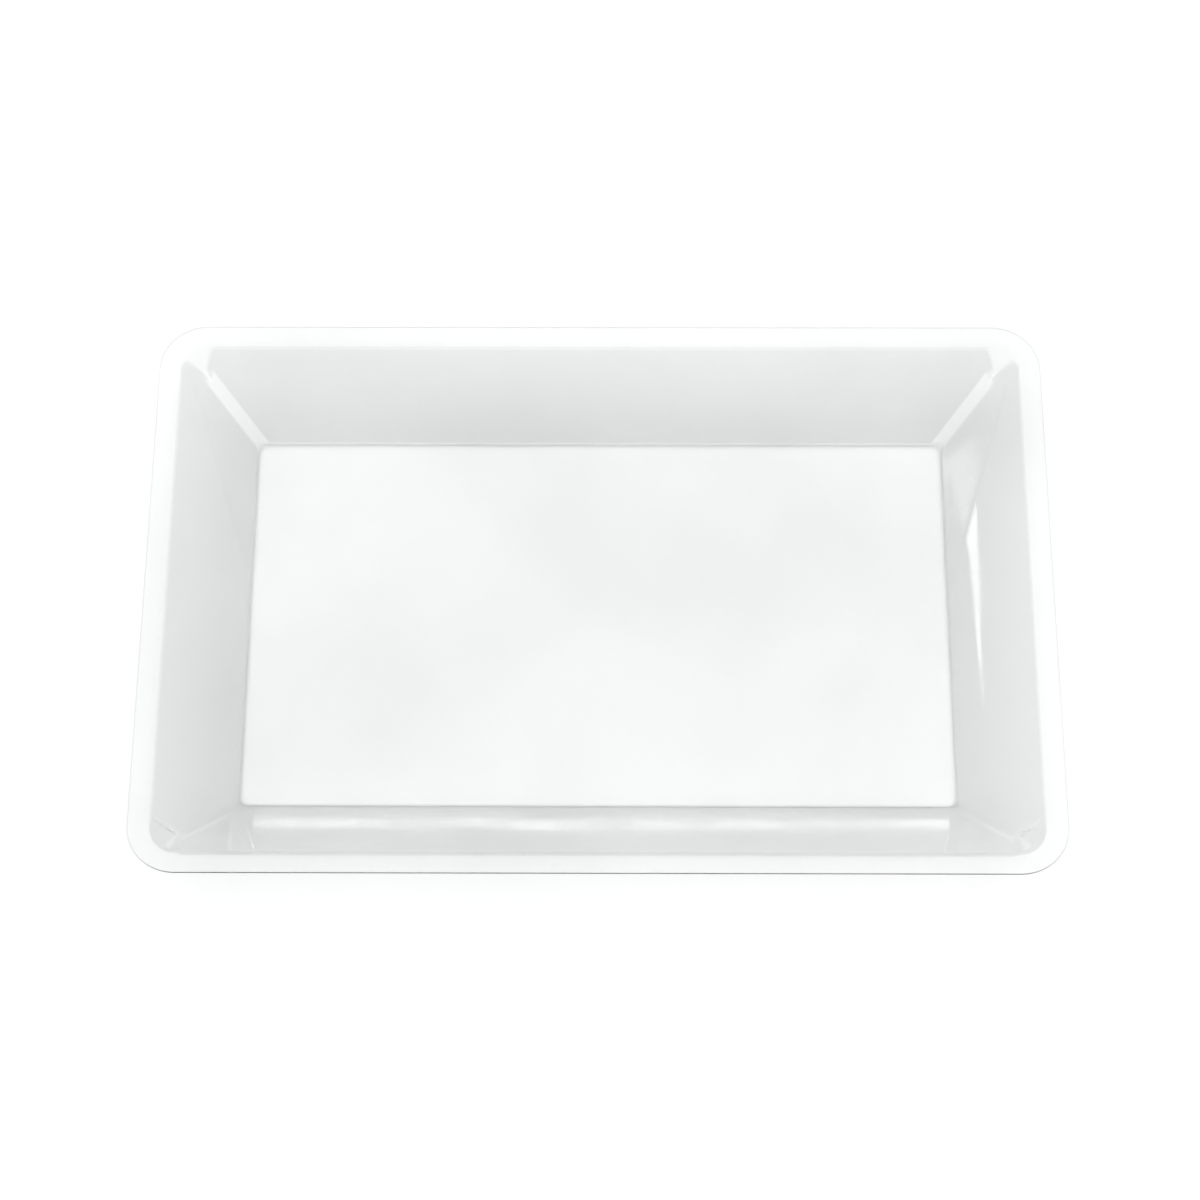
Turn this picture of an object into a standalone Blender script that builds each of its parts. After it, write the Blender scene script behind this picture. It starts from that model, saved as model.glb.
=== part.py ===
"""Shallow rectangular tray moulded in one sheet of clear plastic.

Metres, +Z up. The origin is at the middle of the underside, +X runs along the length.
The inner surface is built from rounded rectangles, bridged into a shell, its two bends are
rounded, and the shell is given its thickness downwards and outwards.
"""

import math

import bmesh
import bpy

# Driving dimensions. Plan sizes are those of the upper, inner surface.
RIM_LENGTH = 0.457  # over the rim, along X
RIM_WIDTH = 0.303  # over the rim, along Y
TRAY_HEIGHT = 0.040  # underside to the top of the rim
SHEET = 0.0018  # thickness of the moulding
RIM_FLANGE = 0.0104  # flat rim, from its outer edge to the bend
WALL_RUN = 0.039  # how far a wall leans out over its height, measured in plan
RIM_CORNER_RADIUS = 0.0246  # outer corners of the rim
FLOOR_CORNER_RADIUS = 0.006  # corners of the flat floor
RIM_BEND_RADIUS = 0.0035  # rounding between rim and wall, on the upper surface
FLOOR_BEND_RADIUS = 0.0025  # rounding between wall and floor, on the upper surface

CORNER_SEGMENTS = 12
BEND_SEGMENTS = 4
LEVEL_TOLERANCE = 0.00001
SHARP_ANGLE = math.radians(30)

PLASTIC_COLOUR = (0.93, 0.95, 0.94, 1.0)
PLASTIC_ROUGHNESS = 0.04
PLASTIC_IOR = 1.57


def clear_scene():
    for old in list(bpy.data.objects):
        bpy.data.objects.remove(old, do_unlink=True)


def clear_plastic():
    material = bpy.data.materials.new("clear_plastic")
    material.use_nodes = True
    shader = material.node_tree.nodes["Principled BSDF"]
    shader.inputs["Base Color"].default_value = PLASTIC_COLOUR
    shader.inputs["Metallic"].default_value = 0.0
    shader.inputs["Roughness"].default_value = PLASTIC_ROUGHNESS
    shader.inputs["IOR"].default_value = PLASTIC_IOR
    shader.inputs["Transmission Weight"].default_value = 1.0
    return material


def rounded_rectangle(bm, length, width, height, corner_radius):
    """A flat face with rounded corners at this height, centred on the Z axis, and its ring of edges."""
    faces_before, edges_before = set(bm.faces), set(bm.edges)
    corners = [
        bm.verts.new((side_x * length / 2, side_y * width / 2, height))
        for side_x, side_y in ((-1, -1), (1, -1), (1, 1), (-1, 1))
    ]
    bm.faces.new(corners)
    bmesh.ops.bevel(
        bm,
        geom=corners,
        offset=corner_radius,
        affect="VERTICES",
        segments=CORNER_SEGMENTS,
        profile=0.5,
    )
    (face,) = set(bm.faces) - faces_before
    return face, list(set(bm.edges) - edges_before)


def tangent_length(radius, turn):
    """How far from a sharp bend its rounding starts, for a sheet that turns through this angle."""
    return radius * math.tan(turn / 2)


def round_bend(bm, height, radius, turn):
    """Rounds the ring of edges at this height where the sheet turns through this angle."""
    bend = [
        edge
        for edge in bm.edges
        if len(edge.link_faces) == 2
        and all(abs(vert.co.z - height) < LEVEL_TOLERANCE for vert in edge.verts)
        and edge.calc_face_angle() > turn / 2
    ]
    bmesh.ops.bevel(
        bm,
        geom=bend,
        offset=tangent_length(radius, turn),
        affect="EDGES",
        segments=BEND_SEGMENTS,
        profile=0.5,
        clamp_overlap=True,
    )


def upper_surface():
    """The open shell that is the tray's inside and the top of its rim."""
    bend_length = RIM_LENGTH - 2 * RIM_FLANGE
    bend_width = RIM_WIDTH - 2 * RIM_FLANGE
    floor_length = bend_length - 2 * WALL_RUN
    floor_width = bend_width - 2 * WALL_RUN
    wall_angle = math.atan2(TRAY_HEIGHT - SHEET, WALL_RUN)

    bm = bmesh.new()
    rim_face, rim_edge = rounded_rectangle(
        bm, RIM_LENGTH, RIM_WIDTH, TRAY_HEIGHT, RIM_CORNER_RADIUS
    )
    bend_face, bend_edge = rounded_rectangle(
        bm, bend_length, bend_width, TRAY_HEIGHT, RIM_CORNER_RADIUS - RIM_FLANGE
    )
    floor_face, floor_edge = rounded_rectangle(
        bm, floor_length, floor_width, SHEET, FLOOR_CORNER_RADIUS
    )
    bmesh.ops.delete(bm, geom=[rim_face, bend_face], context="FACES_ONLY")
    bmesh.ops.bridge_loops(bm, edges=rim_edge + bend_edge)
    bmesh.ops.bridge_loops(bm, edges=bend_edge + floor_edge)
    bmesh.ops.recalc_face_normals(bm, faces=bm.faces)
    if floor_face.normal.z < 0:
        bmesh.ops.reverse_faces(bm, faces=bm.faces)
    round_bend(bm, TRAY_HEIGHT, RIM_BEND_RADIUS, wall_angle)
    round_bend(bm, SHEET, FLOOR_BEND_RADIUS, wall_angle)
    return bm


def make_tray():
    bm = upper_surface()
    mesh = bpy.data.meshes.new("tray")
    bm.to_mesh(mesh)
    bm.free()
    mesh.materials.append(clear_plastic())
    mesh.shade_smooth()
    mesh.set_sharp_from_angle(angle=SHARP_ANGLE)
    tray = bpy.data.objects.new("tray", mesh)
    bpy.context.scene.collection.objects.link(tray)
    thickness = tray.modifiers.new("sheet", "SOLIDIFY")
    thickness.thickness = SHEET
    thickness.offset = -1
    thickness.use_even_offset = True
    thickness.use_quality_normals = True
    return tray


clear_scene()
make_tray()
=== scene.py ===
import math

import bmesh
import bpy
from mathutils import Matrix, Vector


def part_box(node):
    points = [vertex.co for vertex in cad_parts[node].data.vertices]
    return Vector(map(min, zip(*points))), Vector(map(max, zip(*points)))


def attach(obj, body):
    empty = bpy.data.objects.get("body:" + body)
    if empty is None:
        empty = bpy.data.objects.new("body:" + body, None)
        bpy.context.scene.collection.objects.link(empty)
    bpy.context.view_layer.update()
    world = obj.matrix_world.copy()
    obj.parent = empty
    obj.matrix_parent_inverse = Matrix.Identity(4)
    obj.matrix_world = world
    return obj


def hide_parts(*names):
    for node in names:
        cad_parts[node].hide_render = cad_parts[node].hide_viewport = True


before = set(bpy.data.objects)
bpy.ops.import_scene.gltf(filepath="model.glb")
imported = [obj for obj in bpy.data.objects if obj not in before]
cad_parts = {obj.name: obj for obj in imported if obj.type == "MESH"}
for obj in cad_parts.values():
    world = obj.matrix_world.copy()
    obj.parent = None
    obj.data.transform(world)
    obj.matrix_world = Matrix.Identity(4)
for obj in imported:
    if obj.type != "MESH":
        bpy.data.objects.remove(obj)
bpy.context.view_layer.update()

trayLow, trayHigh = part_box("tray")
print("frame loaded:", sorted(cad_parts))


def mix(low, high, share):
    return low + (high - low) * share


def smoothStep(value):
    t = min(max(value, 0.0), 1.0)
    return t * t * (3 - 2 * t)


plasticLook = {
    "ior": 1.57,
    "deepTint": (0.825, 0.84, 0.835, 1.0),
    "paleTint": (0.865, 0.875, 0.87, 1.0),
    "tintPatches": 7.0,  # patches per metre, where the sheet was drawn thinner or thicker
    "tintLimits": (0.35, 0.65),  # the closer together, the sharper the patches
    "polish": (0.008, 0.035),  # lowest and highest roughness of the moulded surface
    "polishPatches": 26.0,
    "polishLimits": (0.3, 0.7),
    "waves": 11.0,  # slow waves per metre, left by the mould
    "waveHeight": 0.00004,
    "grain": 420.0,  # fine flow marks
    "grainHeight": 0.000001,
    "scratchesLong": 16.0,
    "scratchesFine": 900.0,
    "scratchTurn": 21.0,  # degrees between the scratches and the tray's long side
    "scratchLimits": (0.70, 0.76),  # the higher, the fewer scratches
    "scratchRoughness": 0.12,
}


def noiseNode(tree, vector, scale, detail=3.0):
    noise = tree.nodes.new("ShaderNodeTexNoise")
    noise.inputs["Scale"].default_value = scale
    noise.inputs["Detail"].default_value = detail
    tree.links.new(vector, noise.inputs["Vector"])
    return noise.outputs["Fac"]


def rangeNode(tree, value, limits, results):
    ramp = tree.nodes.new("ShaderNodeMapRange")
    ramp.interpolation_type = "SMOOTHSTEP"
    ramp.inputs["From Min"].default_value, ramp.inputs["From Max"].default_value = limits
    ramp.inputs["To Min"].default_value, ramp.inputs["To Max"].default_value = results
    tree.links.new(value, ramp.inputs["Value"])
    return ramp.outputs["Result"]


def bumpNode(tree, height, distance, below=None):
    bump = tree.nodes.new("ShaderNodeBump")
    bump.inputs["Distance"].default_value = distance
    tree.links.new(height, bump.inputs["Height"])
    if below:
        tree.links.new(below, bump.inputs["Normal"])
    return bump.outputs["Normal"]


def makePlastic():
    look = plasticLook
    material = bpy.data.materials.new("clearPlastic")
    material.use_nodes = True
    tree = material.node_tree
    shader = tree.nodes["Principled BSDF"]
    shader.inputs["IOR"].default_value = look["ior"]
    shader.inputs["Transmission Weight"].default_value = 1.0
    place = tree.nodes.new("ShaderNodeTexCoord").outputs["Object"]

    tint = tree.nodes.new("ShaderNodeMix")
    tint.data_type = "RGBA"
    tint.inputs["A"].default_value = look["deepTint"]
    tint.inputs["B"].default_value = look["paleTint"]
    patches = rangeNode(tree, noiseNode(tree, place, look["tintPatches"]), look["tintLimits"], (0.0, 1.0))
    tree.links.new(patches, tint.inputs["Factor"])
    tree.links.new(tint.outputs["Result"], shader.inputs["Base Color"])

    # hairline scratches from handling: a noise drawn out along one direction
    drawn = tree.nodes.new("ShaderNodeMapping")
    drawn.inputs["Rotation"].default_value = (0, 0, math.radians(look["scratchTurn"]))
    fine = look["scratchesFine"]
    drawn.inputs["Scale"].default_value = (look["scratchesLong"], fine, fine)
    tree.links.new(place, drawn.inputs["Vector"])
    scratches = rangeNode(tree, noiseNode(tree, drawn.outputs["Vector"], 1.0, 1.0),
                          look["scratchLimits"], (0.0, look["scratchRoughness"]))
    polish = rangeNode(tree, noiseNode(tree, place, look["polishPatches"]),
                       look["polishLimits"], look["polish"])
    roughness = tree.nodes.new("ShaderNodeMath")
    roughness.operation = "ADD"
    tree.links.new(polish, roughness.inputs[0])
    tree.links.new(scratches, roughness.inputs[1])
    tree.links.new(roughness.outputs["Value"], shader.inputs["Roughness"])

    waves = bumpNode(tree, noiseNode(tree, place, look["waves"], 1.0), look["waveHeight"])
    grain = bumpNode(tree, noiseNode(tree, place, look["grain"]), look["grainHeight"], waves)
    tree.links.new(grain, shader.inputs["Normal"])
    return material


trayShape = {
    "sheet": 0.0018,
    "rimFlange": 0.0104,
    "wallRun": 0.039,
    "rimCorner": 0.0246,
    "wallCorner": 0.006,  # corner radius of the walls, from the rim down to the floor
    "rimBend": (0.0035, 0.0066),  # radius of the turn from the rim into the wall, inside and outside
    "floorBend": (0.0025, 0.0043),
    "edgeRound": 0.0007,
    "flangeSteps": 6,
    "cornerSteps": 20,
    "nearSteps": 40,  # fine steps beside each corner
    "nearLength": 0.016,
    "sideSteps": 10,
    "highSteps": 46,  # fine steps down the wall as far as the corner dishes reach
    "highInset": 0.029,
    "lowSteps": 10,
    "bendSteps": 8,
    "edgeSteps": 4,
}
cornerDish = {
    "low": 0.0246,  # inset of the dish's low point from both sides
    "drop": 0.0116,  # how far it falls from the rim to there
    "endSplay": 20.5,  # degrees by which the dish opens past the square towards the side walls
    "sideSplay": 7.5,  # the same towards the front and back walls
    "edge": 0.0034,  # width of the step down from the dish to the walls
    "stepShift": 0.0009,  # how much nearer the rim the step stands on the outer face
    "bend": 0.0014,  # softness of the turn from the rim into the dish
}


def outline(half, inset, radius, height):
    # one ring: four corner arcs, each followed by the straight side that leaves it
    shape = trayShape
    reach = (half[0] - inset - radius, half[1] - inset - radius)
    near, fine, long = shape["nearLength"], shape["nearSteps"], shape["sideSteps"]
    points = []
    for quarter, (sx, sy) in enumerate(((1, 1), (-1, 1), (-1, -1), (1, -1))):
        for i in range(shape["cornerSteps"] + 1):
            angle = math.radians(90) * (quarter + i / shape["cornerSteps"])
            points.append(Vector((sx * reach[0] + radius * math.cos(angle),
                                  sy * reach[1] + radius * math.sin(angle), height)))
        length = 2 * reach[quarter % 2]
        steps = [near * i / fine for i in range(1, fine + 1)]
        steps += [mix(near, length - near, i / long) for i in range(1, long)]
        steps += [length - near + near * i / fine for i in range(fine)]
        ahead = math.radians(90) * (quarter + 2)
        way = Vector((math.cos(ahead), math.sin(ahead), 0))
        corner = points[-1].copy()
        points += [corner + way * step for step in steps]
    return points


def faceRings(top, outside):
    # (inset, height, corner radius) down one face of the sheet, from the rim's edge to the floor
    shape = trayShape
    turn = math.atan2(top - shape["sheet"], shape["wallRun"])
    depth = shape["sheet"] if outside else 0.0
    rimBend, floorBend = shape["rimBend"][outside], shape["floorBend"][outside]
    rimCorner = shape["rimFlange"] - depth * math.tan(turn / 2)
    flangeEnd = rimCorner - rimBend * math.tan(turn / 2)
    floorStart = rimCorner + shape["wallRun"] + floorBend * math.tan(turn / 2)
    corner = shape["wallCorner"]
    rings = []
    for i in range(1, shape["flangeSteps"] + 1):
        share = i / shape["flangeSteps"]
        radius = mix(shape["rimCorner"] - shape["edgeRound"], corner, share)
        rings.append((mix(shape["edgeRound"], flangeEnd, share), top - depth, radius))
    for i in range(1, shape["bendSteps"] + 1):
        tilt = turn * i / shape["bendSteps"]
        rings.append((flangeEnd + rimBend * math.sin(tilt), top - depth - rimBend * (1 - math.cos(tilt)),
                      corner + depth * math.sin(tilt)))
    head = rings[-1]
    floorFace = shape["sheet"] - depth
    foot = (floorStart - floorBend * math.sin(turn), floorFace + floorBend * (1 - math.cos(turn)))
    fine = (shape["highInset"] - head[0]) / (foot[0] - head[0])
    shares = [fine * i / shape["highSteps"] for i in range(1, shape["highSteps"] + 1)]
    shares += [mix(fine, 1.0, i / shape["lowSteps"]) for i in range(1, shape["lowSteps"])]
    rings += [(mix(head[0], foot[0], share), mix(head[1], foot[1], share), head[2]) for share in shares]
    for i in range(shape["bendSteps"] + 1):
        tilt = turn * (1 - i / shape["bendSteps"])
        rings.append((floorStart - floorBend * math.sin(tilt), floorFace + floorBend * (1 - math.cos(tilt)),
                      corner + depth * math.sin(tilt)))
    return rings


def edgeRings(top):
    # round the rim's outer edge, from its upper face to its lower one
    shape = trayShape
    soft = shape["edgeRound"]
    rings = []
    for i in range(shape["edgeSteps"] + 1):
        angle = math.radians(90) * i / shape["edgeSteps"]
        inset = soft * (1 - math.sin(angle))
        rings.append((inset, top - soft * (1 - math.cos(angle)), shape["rimCorner"] - inset))
    middle = top - shape["sheet"] / 2
    rings += [(inset, 2 * middle - height, radius) for inset, height, radius in reversed(rings)]
    return rings


def allRings(top):
    # up the inner face, round the rim and down the outer one
    # the last value says whether the ring is on the outer face, and is None at the edge
    rings = [(*ring, False) for ring in reversed(faceRings(top, False))]
    rings += [(*ring, None) for ring in edgeRings(top)]
    rings += [(*ring, True) for ring in faceRings(top, True)]
    return rings


def dishHeight(across, along, top, outside):
    # a shallow cone round the low point, flat beyond the rim
    dish = cornerDish
    run = dish["low"] - trayShape["rimFlange"]
    fall = dish["drop"] / run
    past = run - math.hypot(dish["low"] - across, dish["low"] - along)
    reach = math.hypot(past, dish["bend"])
    slope = fall * (1 + past / reach) / 2
    depth = trayShape["sheet"] if outside else 0.0
    return top - fall * (past + reach) / 2 - depth * math.hypot(1, slope)


def dishShare(across, along, outside):
    dish = cornerDish
    low = dish["low"] - (dish["stepShift"] if outside else 0.0)
    towardsEnd = low + math.tan(math.radians(dish["endSplay"])) * (low - across) - along
    towardsSide = low + math.tan(math.radians(dish["sideSplay"])) * (low - along) - across
    return smoothStep(0.5 + towardsEnd / dish["edge"]) * smoothStep(0.5 + towardsSide / dish["edge"])


def withDish(point, half, top, outside):
    across, along = half[0] - abs(point.x), half[1] - abs(point.y)
    rise = dishHeight(across, along, top, outside) - point.z
    point.z += max(rise, 0.0) * dishShare(across, along, outside)
    return point


def extrudeRing(bm, loop, points):
    edges = [bm.edges.get((loop[i - 1], loop[i])) for i in range(len(loop))]
    made = set(bmesh.ops.extrude_edge_only(bm, edges=edges)["geom"])
    fresh = []
    for vertex, point in zip(loop, points):
        raised = next(e.other_vert(vertex) for e in vertex.link_edges if e.other_vert(vertex) in made)
        raised.co = point
        fresh.append(raised)
    return fresh


def makeTray():
    size = trayHigh - trayLow
    half, top = (size.x / 2, size.y / 2), trayHigh.z
    bm = bmesh.new()
    loop = []
    for inset, height, radius, outside in allRings(top):
        points = outline(half, inset, radius, height)
        if outside is not None:
            points = [withDish(point, half, top, outside) for point in points]
        if loop:
            loop = extrudeRing(bm, loop, points)
        else:
            loop = [bm.verts.new(point) for point in points]
            bm.faces.new(loop)
    bm.faces.new(reversed(loop))
    bmesh.ops.recalc_face_normals(bm, faces=bm.faces)
    mesh = bpy.data.meshes.new("trayShell")
    bm.to_mesh(mesh)
    bm.free()
    mesh.shade_smooth()
    mesh.materials.append(makePlastic())
    tray = bpy.data.objects.new("trayShell", mesh)
    bpy.context.scene.collection.objects.link(tray)
    levelNormals = tray.modifiers.new("levelNormals", "WEIGHTED_NORMAL")
    levelNormals.weight = 100  # large flat faces set the shading where they meet a bend
    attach(tray, "root")
    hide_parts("tray")
    print("tray made:", sum(len(face.vertices) - 2 for face in mesh.polygons), "triangles")


makeTray()


studio = {
    "floorSize": 8.0,
    "floorGap": 0.0002,
    "floorColour": (0.67, 0.67, 0.67, 1.0),
    "floorRoughness": 0.9,
    "domeLight": 1.94,
    "horizonLight": 0.42,
    "domeLean": 0.05,  # how much further down the light reaches behind the tray
    "domeEdge": (0.46, 0.58),  # sine of the height above the horizon where the light starts and is full
}


def makeFloor():
    bm = bmesh.new()
    bmesh.ops.create_grid(bm, x_segments=1, y_segments=1, size=studio["floorSize"] / 2)
    bmesh.ops.translate(bm, verts=bm.verts, vec=(0, 0, trayLow.z - studio["floorGap"]))
    mesh = bpy.data.meshes.new("studioFloor")
    bm.to_mesh(mesh)
    bm.free()
    material = bpy.data.materials.new("floorPaper")
    material.use_nodes = True
    shader = material.node_tree.nodes["Principled BSDF"]
    shader.inputs["Base Color"].default_value = studio["floorColour"]
    shader.inputs["Roughness"].default_value = studio["floorRoughness"]
    shader.inputs["Specular IOR Level"].default_value = 0.0
    mesh.materials.append(material)
    floor = bpy.data.objects.new("studioFloor", mesh)
    bpy.context.scene.collection.objects.link(floor)


softboxes = {
    "overhead": {"place": (0.0, 0.85, 1.8), "size": (1.5, 1.1), "brightness": 0.3},
    "leftSide": {"place": (-1.15, -0.51, 0.80), "size": (0.46, 0.46), "brightness": 2.4},
    "rightSide": {"place": (1.15, -0.51, 0.80), "size": (0.46, 0.46), "brightness": 2.4},
}


def makeLights():
    for name, box in softboxes.items():
        width, height = box["size"]
        data = bpy.data.lights.new(name, "AREA")
        data.shape = "RECTANGLE"
        data.size, data.size_y = width, height
        data.energy = box["brightness"] * math.pi * width * height
        lamp = bpy.data.objects.new(name, data)
        bpy.context.scene.collection.objects.link(lamp)
        turn = (-Vector(box["place"])).to_track_quat("-Z", "Y")  # it faces the tray's middle
        lamp.matrix_world = Matrix.Translation(box["place"]) @ turn.to_matrix().to_4x4()


cards = {
    # narrow lit cards, low beside and behind the tray, for the glints on its walls
    "sideCard": {
        "brightness": 3.0,
        "corners": ((-1.16, 0.527, 0.214), (-1.16, 0.832, 0.219),
                    (-1.16, 0.80, 0.187), (-1.16, 0.70, 0.208)),
    },
    "backCard": {
        "brightness": 4.8,
        "corners": ((-0.33, 1.2, 0.4622), (0.32, 1.2, 0.4622),
                    (0.32, 1.2, 0.4716), (-0.33, 1.2, 0.4716)),
    },
}


def makeCards():
    for name, card in cards.items():
        bm = bmesh.new()
        bm.faces.new([bm.verts.new(corner) for corner in card["corners"]])
        mesh = bpy.data.meshes.new(name)
        bm.to_mesh(mesh)
        bm.free()
        material = bpy.data.materials.new(name)
        material.use_nodes = True
        shader = material.node_tree.nodes["Principled BSDF"]
        shader.inputs["Base Color"].default_value = (0, 0, 0, 1)
        shader.inputs["Specular IOR Level"].default_value = 0.0
        shader.inputs["Emission Color"].default_value = (1, 1, 1, 1)
        shader.inputs["Emission Strength"].default_value = card["brightness"]
        mesh.materials.append(material)
        lit = bpy.data.objects.new(name, mesh)
        lit.visible_camera = False
        lit.visible_shadow = False
        bpy.context.scene.collection.objects.link(lit)


def makeWorld():
    world = bpy.data.worlds.new("studioWorld")
    bpy.context.scene.world = world
    world.use_nodes = True
    tree = world.node_tree
    background = tree.nodes["Background"]
    background.inputs["Color"].default_value = (1, 1, 1, 1)
    split = tree.nodes.new("ShaderNodeSeparateXYZ")
    tree.links.new(tree.nodes.new("ShaderNodeTexCoord").outputs["Generated"], split.inputs["Vector"])
    lean = tree.nodes.new("ShaderNodeMath")
    lean.operation = "MULTIPLY_ADD"
    lean.inputs[1].default_value = studio["domeLean"]
    tree.links.new(split.outputs["Y"], lean.inputs[0])
    tree.links.new(split.outputs["Z"], lean.inputs[2])
    light = rangeNode(tree, lean.outputs["Value"], studio["domeEdge"],
                      (studio["horizonLight"], studio["domeLight"]))
    tree.links.new(light, background.inputs["Strength"])


cameraSetup = {
    "elevation": 64.750,
    "azimuth": -0.741,
    "roll": -0.574,
    "target": (0.00048, 0.0126, 0.0),
    "distance": 1.6284,
    "lens": 94.9,
    "sensor": 36.0,
    "clipEnd": 50.0,
}


def makeCamera():
    setup = cameraSetup
    tilt, swing, roll = (math.radians(setup[k]) for k in ("elevation", "azimuth", "roll"))
    look = Vector((math.sin(swing) * math.cos(tilt), math.cos(swing) * math.cos(tilt), -math.sin(tilt)))
    right = Vector((math.cos(swing), -math.sin(swing), 0))
    up = right.cross(look)
    side = right * math.cos(roll) + up * math.sin(roll)
    above = up * math.cos(roll) - right * math.sin(roll)
    data = bpy.data.cameras.new("camera")
    data.lens = setup["lens"]
    data.sensor_width = setup["sensor"]
    data.clip_end = setup["clipEnd"]
    camera = bpy.data.objects.new("camera", data)
    bpy.context.scene.collection.objects.link(camera)
    turned = Matrix((side, above, -look)).transposed().to_4x4()
    camera.matrix_world = Matrix.Translation(Vector(setup["target"]) - look * setup["distance"]) @ turned
    bpy.context.scene.camera = camera


makeFloor()
makeLights()
makeCards()
makeWorld()
makeCamera()
bpy.context.scene.view_settings.view_transform = "Standard"
bpy.context.scene.cycles.blur_glossy = 0.0  # the light under clear plastic stays sharp
print("studio ready")
